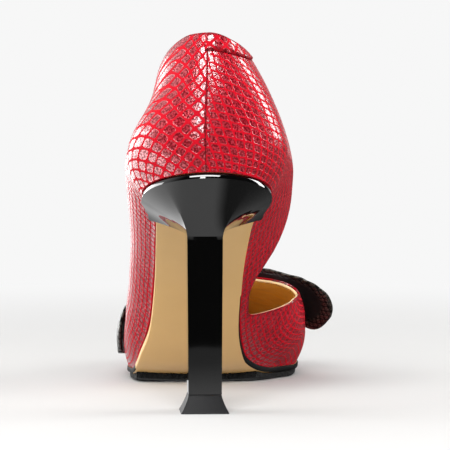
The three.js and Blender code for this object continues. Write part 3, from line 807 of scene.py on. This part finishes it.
TAB_UNDER = 1.5  # how far the tab runs on beyond the middle of the back
TAB_HIDDEN = 0.35  # thickness of that end
TAB_ROUND = 0.6  # over this its edges round off
TAB_CELL_LONG = 4.6
TAB_CELL_HIGH = 4.2
TAB_NET_START = 40
CLEAR_OF_SEAM = 20  # keeps a "mm" map away from the seam's dark line


def rib_along_top(side, run):
    """The rib at a length along the top edge from the middle of the back."""
    rib = round_heel(side, 0)
    n, length, before = 0, 0.0, rib.skin(rib.top_share())
    while length < run:
        n += 1
        share = n / 200
        rib = round_heel(side, share) if share <= 1 else Rib(side, HEEL_CENTRE * share)
        here = rib.skin(rib.top_share())
        length += norm(here - before)
        before = here
    return rib


def make_back_tab():
    """The outer quarter laps over the seam and runs out along the inner top edge."""
    piece = Piece("back_tab_leather", "red_leather", ["red"], ["back_tab"])
    count = 10
    rows, nets, flats, edges = [], [], [], []
    for k in [-1, -0.75, -0.5, -0.25, *steps(30)]:
        hidden = max(0, -k)
        run = hidden * TAB_UNDER if k < 0 else k * TAB_LENGTH
        rib = rib_along_top(OUTER if k < 0 else INNER, run)
        top = rib.top_share()
        depth = TAB_DEPTH * (1 - max(0, k) ** 3) + 0.5
        per_mm = 0.01 / max(rib.skin(top)[2] - rib.skin(top - 0.01)[2], 0.05)
        shares = [mix(top - depth * per_mm, top, j) - TAB_THICKNESS * per_mm for j in steps(count)]
        thick = mix(TAB_THICKNESS, TAB_HIDDEN, hidden)
        near = [min(j, count - j) * depth / count for j in range(count + 1)]
        section = []
        for share, inwards in zip(shares, near):
            swell = sqrt(1 - (1 - min(inwards / TAB_ROUND, 1)) ** 2)
            section.append(rib.skin(share, -GAP - thick * mix(0.35, 1, swell)))
        low, high = (rib.skin(share, -GAP) for share in (shares[0], shares[-1]))
        rows.append([low, *section, high, low])
        up = [0, *[depth * j for j in steps(count)], depth, 0]
        across = (run if k < 0 else -run) / TAB_CELL_LONG
        cells = [(TAB_NET_START + h) / TAB_CELL_HIGH for h in up]
        nets.append([(across + 0.5 / TAB_CELL_LONG + c, across - c) for c in cells])
        flats.append([((5 + run) * MM, h * MM) for h in up])
        edges.append([(e * MM, 0) for e in [0, *near, 0, 0]])
    piece.grid(rows, net=nets, mm=flats, edge=edges)
    for row in (rows[0], rows[-1]):
        piece.close(row[1 : count + 2], row[0], mm=CLEAR_OF_SEAM * MM)
    piece.make(sharp=60)


def outsole_top(x, y):
    return bed(x, y) - GAP * slant(y)


def outsole_foot(x, y):
    return bed(x, y) - (GAP + OUTSOLE_THICKNESS) * slant(y)


def make_layer(piece, makers, margin, upper, lower, count, corner, ragged=0.0, painted=None):
    """A layer with rounded edges between two heights, its edge in a second material where painted."""
    pairs = [(make(OUTER), make(INNER)) for make in makers]
    rand = random.Random(7)
    paint = 1 if painted else 0

    def face(height):
        rows = []
        for outer, inner in pairs:
            a, b = (np.array(rib.outline(margin(rib) - corner)) for rib in (outer, inner))
            rows.append([[*mix(a, b, k), height(*mix(a, b, k))] for k in steps(count)])
        return rows

    top, foot = face(upper), face(lower)
    if ragged:
        for j in range(1, count):
            shift = ragged * rand.uniform(-1, 1)
            top[0][j][1] += shift
            foot[0][j][1] += shift + ragged * rand.uniform(-0.6, 0.6)
            top[0][j][2] += ragged * rand.uniform(-0.5, 0.9)
    piece.grid(top)
    piece.grid(foot, turn=True)
    profile = [(-1, 0), (-0.3, 0.04), (0, 0.2), (0, 0.8), (-0.3, 0.96), (-1, 1)]
    for c, j in ((0, 0), (1, count)):
        rows = []
        for i, pair in enumerate(pairs):
            ends = top[i][j][2], foot[i][j][2]
            out = margin(pair[c])
            rows.append([(*pair[c].outline(out + corner * off), mix(*ends, k)) for off, k in profile])
        first = len(piece.faces)
        piece.grid(rows, slot=paint, turn=c == 0)
        if painted:
            width = len(profile) - 1
            for n in range(first, len(piece.faces)):
                if not painted(pairs[(n - first) // width][c], c):
                    piece.slots[n] = 0
    rear = [[mix(np.array(a), np.array(b), k) for k in steps(5)] for a, b in zip(top[0], foot[0])]
    if ragged:
        for row in rear[1:-1]:
            for point in row[1:-1]:
                point[1] += ragged * rand.uniform(-1, 0.2)
    piece.grid(rear)
    piece.grid([[top[-1][j], foot[-1][j]] for j in range(count + 1)], slot=paint, turn=True)


MARGIN_START, MARGIN_SPAN = 24, 26  # where the sole begins to stand out, behind the tread's rear edge
PAINT_INNER, PAINT_OUTER = 45, 6  # the edge is painted from this far behind it


def sole_margin(rib):
    """The sole stands out round the forefoot only."""
    return mix(SOLE_FLUSH, SOLE_MARGIN, ease((rib.station - TREAD_LINE + MARGIN_START) / MARGIN_SPAN))


def sole_painted(rib, inner):
    """The edge is painted round the forefoot, on the inner side from further back."""
    return rib.station > TREAD_LINE - (PAINT_INNER if inner else PAINT_OUTER)


def heel_part(n):
    return [lambda side, k=k: round_heel(side, k) for k in steps(n)]


def side_part(n, first, last):
    return [lambda side, k=k: Rib(side, mix(first, last, k)) for k in steps(n)]


def toe_part(n):
    return [lambda side, k=k: round_toe(side, k) for k in steps(n)[1:]]


def make_soles():
    def sock_top(x, y):
        return bed(x, y) + INSOLE_THICKNESS * slant(y)

    def tread_top(x, y):
        return outsole_foot(x, y) - GAP * 0.4 * slant(y)

    def tread_foot(x, y):
        return max(0.0, outsole_foot(x, y) - (GAP + TREAD_THICKNESS) * slant(y))

    insole = Piece("insole_sock", "tan_leather", ["sock"], ["insole"])
    makers = [*heel_part(20), *side_part(50, HEEL_CENTRE, TOE_LINE)[1:], *toe_part(14)]
    make_layer(insole, makers, lambda rib: -WALL * 1.25 - GAP, sock_top, bed, 10, 0.5)
    insole.make(sharp=50)
    looks = ["sole", "edge_paint"]
    outsole = Piece("outsole_leather", "sole_leather", looks, ["outsole"])
    makers = [*side_part(60, BREAST_LINE + GAP, TOE_LINE), *toe_part(18)]
    make_layer(outsole, makers, sole_margin, outsole_top, outsole_foot, 14, 0.35, painted=sole_painted)
    outsole.make(sharp=50)
    tread = Piece("half_sole_rubber", "black_rubber", ["rubber"], ["half_sole"])
    makers = [*side_part(40, TREAD_LINE, TOE_LINE), *toe_part(16)]
    inset = SOLE_MARGIN - TREAD_INSET
    make_layer(tread, makers, lambda rib: inset, tread_top, tread_foot, 130, 0.3, ragged=0.32)
    tread.make(sharp=35)


REAR_COUNT = 20
REAR_CORNER = 0.46  # share of the turn round the heel at which its rear face ends
RIM_ROUND = 0.8  # how far the rim's rounded top edge is set in
NECK_HEIGHT = HEEL_HEIGHT - GAP - NECK_DROP
HEEL_SHAPE = columns(HEEL, HEEL_ROWS, 1)
STEM_SHAPE = columns(STEM, STEM_ROWS, 1)


def heel_ring():
    """The heel's outline: place, share across, share of the depth, and place with the rounding off."""
    rear = []
    for k in steps(REAR_COUNT):
        across = 2 * k - 1
        rib = round_heel(OUTER if across < 0 else INNER, abs(across) * REAR_CORNER)
        rear.append((rib.outline(0), across, 0.0, rib.outline(-RIM_ROUND)))
    ribs = [lambda side, k=k: round_heel(side, mix(REAR_CORNER, 1, k)) for k in steps(14)[1:]]
    ribs += side_part(10, HEEL_CENTRE, BREAST_LINE)[1:]

    def flank(side):
        made = []
        for i, make in enumerate(ribs):
            rib = make(side)
            out = HEEL_OVERHANG * clamp((rib.station - HEEL_CENTRE) / (BREAST_LINE - HEEL_CENTRE), 0, 1)
            made.append((rib.outline(out), side["sign"], (i + 1) / len(ribs), rib.outline(out - RIM_ROUND)))
        return made

    inner, outer = flank(INNER), flank(OUTER)
    a, b = np.array(inner[-1][0]), np.array(outer[-1][0])
    breast = [(mix(a, b, k), 1 - 2 * k, 1.0, mix(a, b, k)) for k in steps(REAR_COUNT)[1:-1]]
    return rear + inner + breast + outer[::-1] + rear[:1]


def heel_level(ring, drop, rear, flank, breast, height=None):
    level = []
    for (x, y), wide, deep, _ in ring:
        z = mix(outsole_top(x, y) - HEEL_RIM, NECK_HEIGHT, drop) if height is None else height
        taper = STEM_TAPER * clamp((NECK_HEIGHT - z) / (NECK_HEIGHT - TIP_HEIGHT), 0, 1)
        stem_x = STEM_SHIFT + (STEM_WIDTH - taper) / 2 * wide
        stem_y = STEM_BACK + STEM_DEPTH * deep
        level.append((mix(x, stem_x, flank), mix(y, stem_y, mix(rear, breast, deep**1.5)), z))
    return level


def make_heel():
    piece = Piece("heel_gloss", "black_gloss", ["heel_gloss"], ["heel"])
    ring = heel_ring()
    levels = []
    for k in steps(6):
        tucked = 1 - sin(k * pi / 2) ** 0.8
        level = [mix(np.array(at), np.array(rounded), tucked) for at, _, _, rounded in ring]
        levels.append([(x, y, outsole_top(x, y) - HEEL_RIM * k) for x, y in level])
    for drop in steps(40)[1:]:
        levels.append(heel_level(ring, drop, **{name: HEEL_SHAPE[name](drop) for name in HEEL[1:]}))
    for down in steps(30)[1:]:
        height = mix(NECK_HEIGHT, TIP_HEIGHT + GAP, down)
        levels.append(heel_level(ring, 1, 1, 1, STEM_SHAPE["breast"](down), height))
    piece.grid(levels)
    piece.close(levels[-1], (STEM_SHIFT, STEM_BACK + STEM_DEPTH / 2, levels[-1][0][2]))
    piece.close(levels[0], (0.0, HEEL_CENTRE, outsole_top(0, HEEL_CENTRE)))
    piece.make(sharp=28)


def make_tip():
    piece = Piece("heel_top_piece", "black_matte", ["top_piece"], ["heel_tip"])
    half = (STEM_WIDTH - STEM_TAPER) / 2
    corner = 0.5
    rows = []
    for k in steps(14):
        wide = mix(half, TIP_WIDTH / 2, k**1.3)
        front = STEM_BACK + STEM_DEPTH + TIP_SPARE * (1 - TIP_BEHIND) * k
        back = STEM_BACK - TIP_SPARE * TIP_BEHIND * k
        row = []
        for sign, edge, turn in ((-1, back, 180), (1, back, 270), (1, front, 0), (-1, front, 90)):
            for j in steps(4):
                angle = radians(turn + 90 * j)
                x = STEM_SHIFT + sign * (wide - corner) + corner * cos(angle)
                y = edge + (corner if edge == back else -corner) + corner * sin(angle)
                row.append((x, y, TIP_HEIGHT * (1 - k)))
        rows.append([*row, row[0]])
    piece.grid(rows)
    for row in (rows[0], rows[-1]):
        piece.close(row, np.mean(row[:-1], axis=0))
    piece.make(sharp=50)


# The bow's frame: "out" across the shoe, "on" down the vamp, "up" off it
BOW_SLOPE = (ridge_height(BOW_LINE + 4) - ridge_height(BOW_LINE - 4)) / 8
BOW_ON = np.array((0, 1, BOW_SLOPE)) / hypot(1, BOW_SLOPE)
BOW_UP = np.array((0, -BOW_ON[2], BOW_ON[1]))
BOW_SEAT = np.array((LAST["swing"](BOW_LINE), BOW_LINE, ridge_height(BOW_LINE))) + BOW_UP * BOW_LIFT
WIDEST = WING_ROWS[-1][0]
WING_ROOT = KNOT_WIDTH / 2 + GAP
WING_SEAT = KNOT_HEIGHT * 0.45
WING_ROUND = 2.2  # how square a wing's end is: 2 is an ellipse
TWIST_FROM = 0.45  # the share of the free wing from which its end turns
TURNED_EDGE = 4.2  # how far the leather is turned round a wing's edge
WING_ROUNDING = 0.35  # how far its edge bulges
BOW_CELL = 3.6
KNOT_GIRTH = 42
KNOT_PLEATS = 9
wing_table = columns(("along", "half"), WING_ROWS, 1, half=WING_WIDTH / 2)["half"]


def bow_point(out, on, up):
    return BOW_SEAT + BOW_ON * on + BOW_UP * up + np.array((out, 0, 0))


def bow_maps(along, on):
    """A point of the bow in the net of scales and in the leather."""
    return ((along + on) / BOW_CELL, (along - on) / BOW_CELL), ((CLEAR_OF_SEAM + along) * MM, on * MM)


def apart(rows):
    """Rows of tuples as one grid for each member of the tuple."""
    return [[[cell[i] for cell in row] for row in rows] for i in range(len(rows[0][0]))]


def half_wing(u):
    if u <= WIDEST:
        return wing_table(u)
    k = min(0.998, (u - WIDEST) / (1 - WIDEST))
    return wing_table(WIDEST) * (1 - k**WING_ROUND) ** (1 / WING_ROUND)


WING_STEPS = [1 - (1 - k) ** 1.5 for k in steps(44)]


def free_wing():
    first = radians(WING_RISE)
    bend = -radians(WING_RISE + INNER_DROOP)

    def at(u):
        angle = first + bend * min(1, u / INNER_BEND)
        curl = INNER_BEND / bend
        straight = max(0, u - INNER_BEND)
        out = curl * (sin(angle) - sin(first)) + straight * cos(angle)
        over = curl * (cos(first) - cos(angle)) + straight * sin(angle)
        out = WING_ROOT + INNER_SPAN * out
        up = WING_SEAT + INNER_SPAN * over
        twist = tan(radians(INNER_TWIST)) * clamp((u - TWIST_FROM) / (1 - TWIST_FROM), 0, 1)

        def place(v, lift):
            hang = lift - INNER_HOLLOW * mix(0.25, 1, u) * v * v - twist * v * half_wing(u)
            return bow_point(out - sin(angle) * hang, v * half_wing(u), up + cos(angle) * hang)

        return place

    return [at(u) for u in WING_STEPS]


def draped_wing():
    settled = OUTER_LIFT + WING_THICKNESS / 2
    middle = Rib(OUTER, BOW_LINE)
    start = LAST["swing"](BOW_LINE) - WING_ROOT
    run, before, length = [], None, 0.0
    for n in range(601):
        share = 1 - n / 700
        at = middle.skin(share, -settled)
        if at[0] > start:
            continue
        if before is not None:
            length += norm(at - before)
        run.append((length, share))
        before = at

    def at(u):
        share = next((s for l, s in run if l >= u * OUTER_SPAN), run[-1][1])
        near = mix(settled, OUTER_REST + WING_THICKNESS / 2, clamp(1.6 * u - 0.6, 0, 1))
        away = mix(BOW_LIFT + WING_SEAT, near, min(1, u * 3.5) ** 0.7)

        def place(v, lift):
            return Rib(OUTER, BOW_LINE + v * half_wing(u) * BOW_ON[1]).skin(share, -away - lift)

        return place

    return [at(u) for u in WING_STEPS]


def make_wing(name, stations, sign, replaced):
    """A wing is embossed leather turned round its edge over a smooth lining."""
    piece = Piece(name, "black_leather", ["black", "bow_lining"], [replaced])
    across = [sin((k - 0.5) * pi) for k in steps(28)]
    widest = WING_WIDTH / 2
    rows = []
    for u, place in zip(WING_STEPS, stations):
        half = half_wing(u)
        end = clamp((u - WIDEST) / (1 - WIDEST), 0, 1)
        rows.append([])
        for v in across:
            plump = WING_THICKNESS / 2 * mix(0.4, 1, 1 - v**4)
            reach = abs(v)
            if end > 0:
                reach = (end**WING_ROUND + abs(v * half / widest) ** WING_ROUND) ** (1 / WING_ROUND)
            edge = (1 - reach) * (widest if end > 0 else half)
            ripple = 0.11 * sin(u * 46 + (2 if v > 0 else 0)) * ease(1 - edge / 5)
            sunk = 0.55 * ease((edge - TURNED_EDGE) / 0.8) * ease(u / 0.12)
            top = place(v, plump + ripple)
            foot = place(v, -plump + sunk + ripple * ease(edge / 1.5))
            rows[-1].append((top, foot, *bow_maps(u * INNER_SPAN, v * half), edge))
    tops, foots, nets, flats, lined = apart(rows)
    piece.grid(tops, turn=sign > 0, net=nets, mm=flats, edge=1.0)
    first = len(piece.faces)
    piece.grid(foots, turn=sign < 0, net=nets, mm=flats, edge=1.0)
    count = len(across) - 1
    for i in range(len(tops) - 1):
        for j in range(count):
            edge = np.mean([row[j : j + 2] for row in lined[i : i + 2]])
            if edge > TURNED_EDGE + 0.5 and WING_STEPS[i] > 0.06:
                piece.slots[first + i * count + j] = 1
    for j, inner in ((0, 1), (count, count - 1)):
        rows = []
        for top, foot in zip(tops, foots):
            outwards = top[j] - top[inner]
            outwards = outwards / max(norm(outwards), 1e-6) * WING_ROUNDING
            rows.append([mix(top[j], foot[j], k) + outwards * sin(k * pi) for k in steps(4)])
        side = [row[j : j + 1] for row in nets]
        piece.grid(rows, turn=(j == 0) == (sign > 0), net=side, mm=CLEAR_OF_SEAM * MM, edge=1.0)
    for i in (0, -1):
        piece.grid([tops[i], foots[i]], mm=CLEAR_OF_SEAM * MM, edge=1.0)
    piece.make(sharp=70)


def make_knot():
    piece = Piece("bow_knot_leather", "black_leather", ["black"], ["bow_knot"])

    def soft(k, power):
        return copysign(abs(k) ** power, k)

    rows = []
    for k in steps(36):
        tilt = (k - 0.5) * pi
        rows.append([])
        for turn in steps(64):
            angle = turn * 2 * pi
            reach = soft(cos(tilt), 0.5)
            pleated = 0.035 if sin(angle) > 0 else 0
            pleat = 1 - pleated * (0.5 + 0.5 * cos(angle * KNOT_PLEATS))
            out = KNOT_WIDTH / 2 * reach * soft(cos(angle), 0.5)
            on = KNOT_LENGTH / 2 * soft(sin(tilt), 0.8)
            up = KNOT_HEIGHT / 2 * (1 + reach * pleat * soft(sin(angle), 0.7))
            rows[-1].append((bow_point(out, on, up), *bow_maps(turn * KNOT_GIRTH, on)))
    points, nets, flats = apart(rows)
    piece.grid(points, net=nets, mm=flats, edge=1.0)
    piece.make(sharp=0)


def at_length(wanted, run, points):
    """The point at a length along a row of points."""
    return np.array([np.interp(wanted, run, column) for column in np.asarray(points).T])


def make_stitches():
    """A row of stitches in the lining, under the top edge."""
    piece = Piece("lining_stitches", "tan_leather", ["thread"])
    pitch, length, radius = 2.3, 1.7, 0.17
    lowest = 5.5  # no stitches where the upper is lower than this
    widest = 6  # nor across a longer gap
    for half in HALVES.values():
        places, inwards = [], []
        for i in range(half.open_count):
            lengths = half.lengths[i]
            if lengths[-1] <= lowest:
                continue
            wanted = max(lengths[-1] - STITCH_LINE, lengths[-1] * 0.3)
            point, outer = (at_length(wanted, lengths, rows[i]) for rows in (half.inside, half.outside))
            inwards.append((point - outer) / norm(point - outer))
            places.append(point + inwards[-1] * 0.06)
        run = rib_lengths(places)
        for s in np.arange(1.0, run[-1] - pitch, pitch):
            if np.interp(s, run[1:], np.diff(run)) > widest:
                continue
            first, last = (at_length(t, run, places) for t in (s, s + length))
            normal = at_length(s, run, inwards)
            across = np.cross((last - first) / norm(last - first), normal)
            rings = []
            for k in steps(6):
                bulge = sqrt(max(0.0, 1 - (2 * k - 1) ** 4))
                centre = mix(first, last, k) + normal * radius * (bulge - 0.6)
                ring = []
                for a in steps(6):
                    turn = a * 2 * pi
                    spoke = across * cos(turn) + normal * sin(turn)
                    ring.append(centre + spoke * radius * max(bulge, 0.05))
                rings.append(ring)
            piece.grid(rings)
    piece.make(sharp=0, weld=0.0005)


make_upper()
make_back_tab()
make_soles()
make_heel()
make_tip()
make_wing("bow_inner_wing", free_wing(), 1, "bow_wing_inner")
make_wing("bow_outer_wing", draped_wing(), -1, "bow_wing_outer")
make_knot()
make_stitches()

# Camera: one metre behind the heel, as in the photograph, and aimed at the shoe
CAMERA_AT = np.array((-52.7, -1000.0, 125.0))
AIM = np.array((5.5, 0.0, 74.0))
FOCAL_PIXELS = 2301 * 1.15
PICTURE = 450
SENSOR = 36

# The studio, in metres. Lights show neither to the camera nor in reflections, cards in those alone
BACKDROP = 0.93
FLOOR_NEAR, FLOOR_FAR = 0.14, 0.6  # between these the floor fades into the backdrop
FLOOR_FRONT = 0.36  # in reflections the floor ends here, so that the stem of the heel stays black
REFLECTED_FLOOR = 0.75
# Where the floor is brighter or darker in reflections: axis, from, to, strength
REFLECTED_PARTS = ((0, -0.06, -0.25, 4.2), (0, 0.0, 0.035, 0.1), (1, -0.14, -0.3, 0.26))
WORLD_TOWARD = (-0.9, 1.0, 0.0)
WORLD_DARK, WORLD_BRIGHT = 0.015, 0.93
WINDOW, WINDOW_AIM = (-0.18, -1.25, 0.95), (0, -0.1, 0.1)
# Name, place, aim, width, height, power
LIGHTS = (
    ("window", WINDOW, WINDOW_AIM, 1.0, 0.55, 27),
    ("left", (-1.2, 0.0, 0.5), (0, 0, 0.08), 0.8, 0.8, 10),
    ("right", (1.2, 0.0, 0.4), (0, 0, 0.08), 0.8, 0.8, 15),
)
# The same, with the strength last
CARDS = (
    ("window_card", WINDOW, WINDOW_AIM, 1.5, 0.55, 17.0),
    ("strip_card", (-0.24, -1.3, 0.3), WINDOW_AIM, 0.2, 0.5, 19.0),
    ("left_card", (-0.9, 0.5, 0.2), (0, 0, 0.1), 1.3, 0.4, 8.0),
    ("right_card", (1.0, 0.36, 0.45), (0, 0, 0.1), 0.4, 0.8, 10.0),
)
SUN_ANGLE = 1.3
SUN_ENERGY = 1.1
BLACK = (0.0, 0.0, 0.0)
WHITE = (1.0, 1.0, 1.0)


def make_plane(name, size, placed, material):
    bpy.ops.mesh.primitive_plane_add(size=size)
    made = bpy.context.object
    made.name = name
    made.data.transform(placed)
    made.data.materials.append(material)
    return made


def make_camera():
    data = bpy.data.cameras.new("camera")
    data.sensor_width = SENSOR
    data.lens = FOCAL_PIXELS / PICTURE * SENSOR
    data.clip_end = 30
    made = link("camera", data)
    made.location = (CAMERA_AT + SHIFT) * MM
    made.rotation_mode = "QUATERNION"
    made.rotation_quaternion = turn_to(CAMERA_AT, AIM)
    bpy.context.scene.camera = made


def make_light(name, place, aim, width, height, power):
    data = bpy.data.lights.new(name, "AREA")
    data.shape = "RECTANGLE"
    data.size, data.size_y, data.energy = width, height, power
    made = link(name, data)
    made.location = place
    made.rotation_mode = "QUATERNION"
    made.rotation_quaternion = turn_to(place, aim)
    made.visible_camera = made.visible_glossy = False


def make_card(name, place, aim, width, height, strength):
    g = new_material(name, Base_Color=BLACK, Specular_IOR_Level=0.0, Emission_Color=WHITE)
    turned = turn_to(place, aim).to_matrix().to_4x4()
    placed = Matrix.Translation(place) @ turned @ Matrix.Diagonal((width, height, 1, 1))
    card = make_plane(name, 1, placed, g.finish(Emission_Strength=strength))
    card.visible_camera = card.visible_diffuse = card.visible_shadow = card.visible_transmission = False


def make_floor():
    g = new_material("floor", Roughness=0.8, Specular_IOR_Level=0.0, Emission_Color=WHITE)
    away = g.add("VectorMath", {0: g.place()}, out=1, operation="LENGTH")
    far = g.soft(away, FLOOR_NEAR, FLOOR_FAR)
    g.finish(
        Base_Color=g.blend(far, (0.56, 0.557, 0.55), BLACK),
        Emission_Strength=g.times(far, BACKDROP),
    )
    floor = make_plane("floor", 60, Matrix(), g.owner)
    floor.visible_glossy = False

    g = new_material("floor_in_reflections", Base_Color=BLACK, Roughness=1.0, Specular_IOR_Level=0.0)
    place = g.parts(g.place())
    glow = REFLECTED_FLOOR
    for axis, start, end, strength in REFLECTED_PARTS:
        glow = g.between(g.soft(place[axis], start, end), glow, strength)
    size = 6
    placed = Matrix.Translation((0, size / 2 - FLOOR_FRONT, 0))
    made = g.finish(Emission_Color=WHITE, Emission_Strength=glow)
    mirrored = make_plane("floor_in_reflections", size, placed, made)
    mirrored.visible_camera = mirrored.visible_diffuse = mirrored.visible_shadow = False


def make_studio():
    make_floor()
    world = bpy.data.worlds.new("studio")
    bpy.context.scene.world = world
    g = Graph(world, "Background", Color=WHITE)
    way = g.add("TexCoord", {}, out="Generated")
    toward = g.add("VectorMath", {0: way, 1: WORLD_TOWARD}, out="Value", operation="DOT_PRODUCT")
    names = {"Value": toward, "To Min": WORLD_DARK, "To Max": WORLD_BRIGHT}
    shade = g.add("MapRange", names, interpolation_type="SMOOTHSTEP")
    g.finish(Strength=g.between(g.add("LightPath", {}, out="Is Camera Ray"), shade, BACKDROP))
    for light in LIGHTS:
        make_light(*light)
    for card in CARDS:
        make_card(*card)
    overhead = bpy.data.lights.new("overhead", "SUN")
    overhead.angle, overhead.energy = SUN_ANGLE, SUN_ENERGY
    link("overhead", overhead)


make_camera()
make_studio()
bpy.context.scene.view_settings.view_transform = "Standard"
